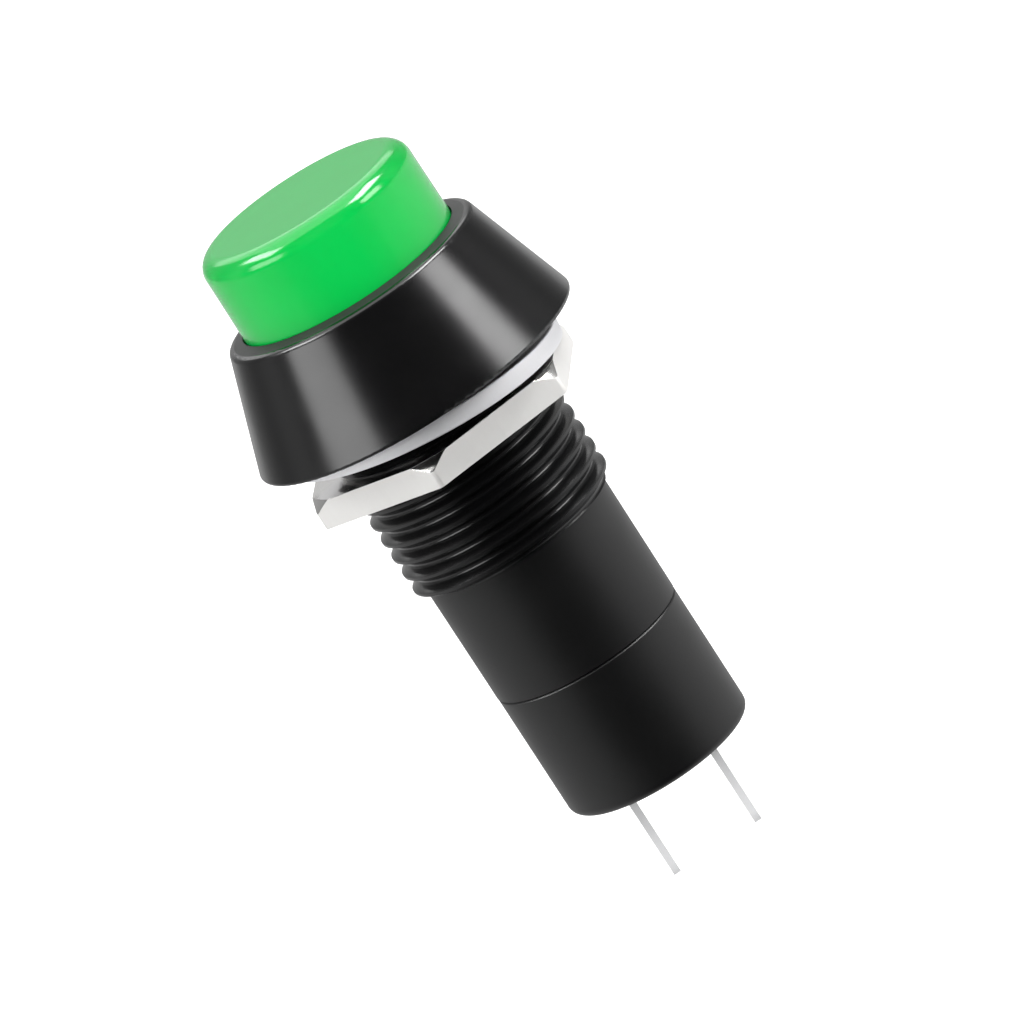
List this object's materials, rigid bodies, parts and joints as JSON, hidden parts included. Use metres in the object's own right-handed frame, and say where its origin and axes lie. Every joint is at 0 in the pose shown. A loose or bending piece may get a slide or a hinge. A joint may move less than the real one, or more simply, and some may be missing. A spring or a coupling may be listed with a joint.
{
  "type": "panel pushbutton switch",
  "caption": "Round momentary pushbutton switch with a domed-edge green cap, black tapered bezel, threaded bushing with washer and hexagon nut, round body and two solder tabs.",
  "frame": {"origin": "on the barrel's axis, where the underside of the bezel seats on the panel", "axes": "+Z along the barrel's axis towards the button, -Z towards the solder tabs; the tabs lie apart along X"},
  "size_m": [0.0182, 0.0182, 0.0399],
  "materials": {
    "housing_plastic": "moulded black nylon, semi-gloss",
    "base_plastic": "moulded black phenolic, satin",
    "cap_plastic": "moulded green ABS, glossy",
    "plunger_plastic": "moulded natural acetal",
    "seat_fibre": "punched vulcanised fibre",
    "spring_wire": "drawn spring wire",
    "bridge_brass": "stamped brass strip",
    "contact_silver": "silver contact rivet",
    "terminal_plate": "tin-plated brass strip",
    "washer_nickel": "nickel-plated stamped steel",
    "nut_nickel": "nickel-plated steel, turned faces"
  },
  "bodies": {
    "switch_body": {"housing": "housing_plastic", "base": "base_plastic", "spring_seat": "seat_fibre", "return_spring": "spring_wire", "terminal_left": "terminal_plate", "terminal_right": "terminal_plate", "fixed_contact_left": "contact_silver", "fixed_contact_right": "contact_silver"},
    "button": {"cap": "cap_plastic", "plunger": "plunger_plastic", "contact_spring": "spring_wire"},
    "bridge": {"contact_bridge": "bridge_brass", "moving_contact_left": "contact_silver", "moving_contact_right": "contact_silver"},
    "loose_washer": {"washer": "washer_nickel"},
    "clamp_nut": {"nut": "nut_nickel"}
  },
  "joints": [
    {"name": "button_press", "type": "slide", "parent": "switch_body", "child": "button", "axis": [0, 0, -1], "range_m": [0, 0.002], "stiffness_N_per_m": 500, "springref_m": -0.001, "deforming": ["return_spring"]},
    {"name": "bridge_lift", "type": "slide", "parent": "button", "child": "bridge", "axis": [0, 0, 1], "range_m": [0, 0.0007], "deforming": ["contact_spring"]},
    {"name": "washer_travel", "type": "slide", "parent": "switch_body", "child": "loose_washer", "axis": [0, 0, 1], "range_m": [-0.006, 0]},
    {"name": "nut_spin", "type": "hinge", "parent": "loose_washer", "child": "clamp_nut", "pos_m": [0, 0, 0], "axis": [0, 0, 1], "range_deg": [-2160, 0]}
  ],
  "couplings": [
    {"joint": "bridge_lift", "follows": "button_press", "ratio": 0.35},
    {"joint": "nut_spin", "follows": "washer_travel", "rad_per_m": 6283.2}
  ]
}
